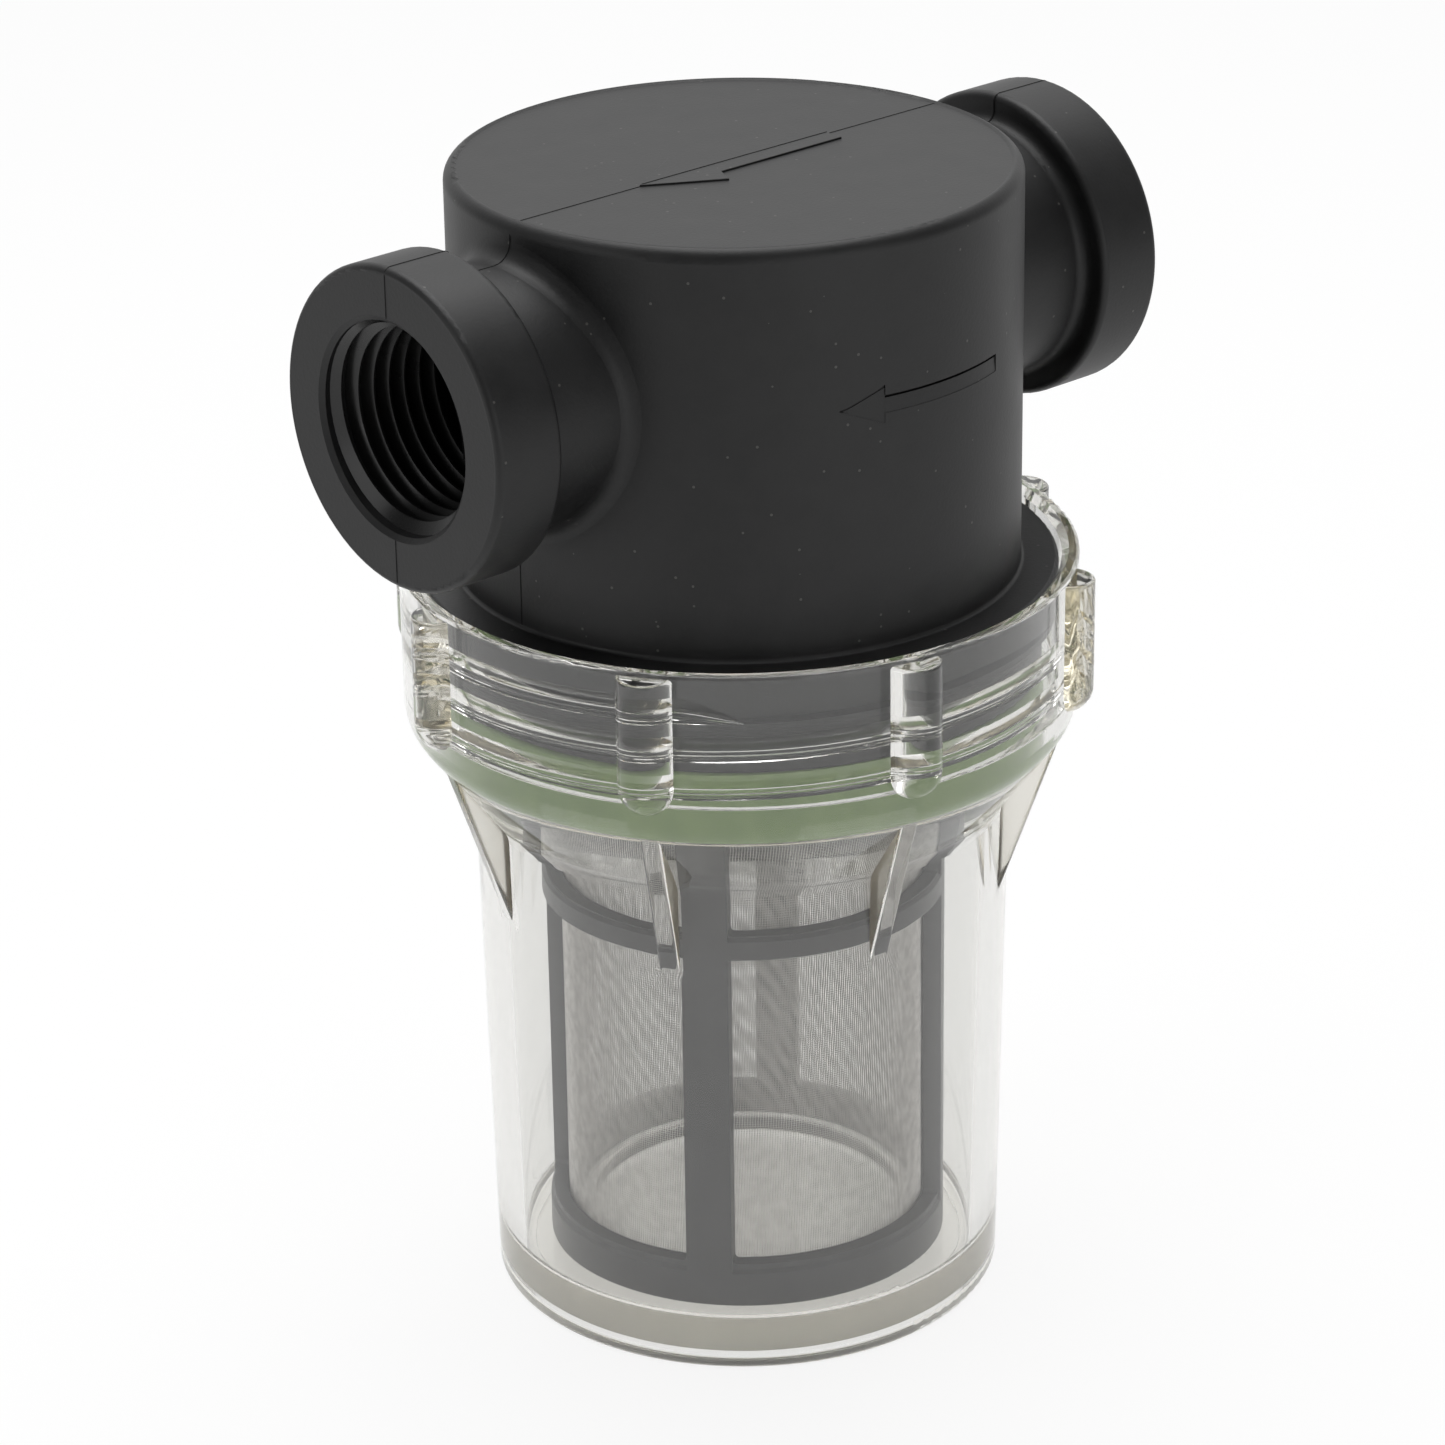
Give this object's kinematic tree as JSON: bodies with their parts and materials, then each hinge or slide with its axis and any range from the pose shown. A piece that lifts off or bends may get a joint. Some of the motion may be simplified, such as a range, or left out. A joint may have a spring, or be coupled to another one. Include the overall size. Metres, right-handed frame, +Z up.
{
  "type": "inline hose filter",
  "caption": "Inline strainer with a moulded two-port head, a clear screw-on bowl with grip lugs, and a wire-mesh cartridge standing in the bowl.",
  "frame": {"origin": "middle of the bowl's foot, on the surface that the filter stands on", "axes": "+Z up through the bowl and head, +X out of the inlet port, -X out of the outlet port"},
  "size_m": [0.0874, 0.0718, 0.1213],
  "materials": {
    "black_moulding": "fine matte moulded texture",
    "clear_plastic": "clear moulded plastic, polished",
    "green_rubber": "smooth rubber",
    "grey_moulding": "satin moulded plastic",
    "steel_mesh": "fine woven wire"
  },
  "bodies": {
    "fixed_head": {"head": "black_moulding"},
    "strainer": {"strainer_cage": "grey_moulding", "strainer_mesh": "steel_mesh"},
    "screw_bowl": {"bowl": "clear_plastic", "bowl_seal": "green_rubber"}
  },
  "joints": [
    {"name": "bowl_drop", "type": "slide", "parent": "fixed_head", "child": "strainer", "axis": [0, 0, -1], "range_m": [0, 0.008]},
    {"name": "bowl_turn", "type": "hinge", "parent": "strainer", "child": "screw_bowl", "pos_m": [0, 0, 0], "axis": [0, 0, -1], "range_deg": [0, 720]}
  ],
  "couplings": [
    {"joint": "bowl_drop", "follows": "bowl_turn", "m_per_rad": 0.00063662}
  ]
}
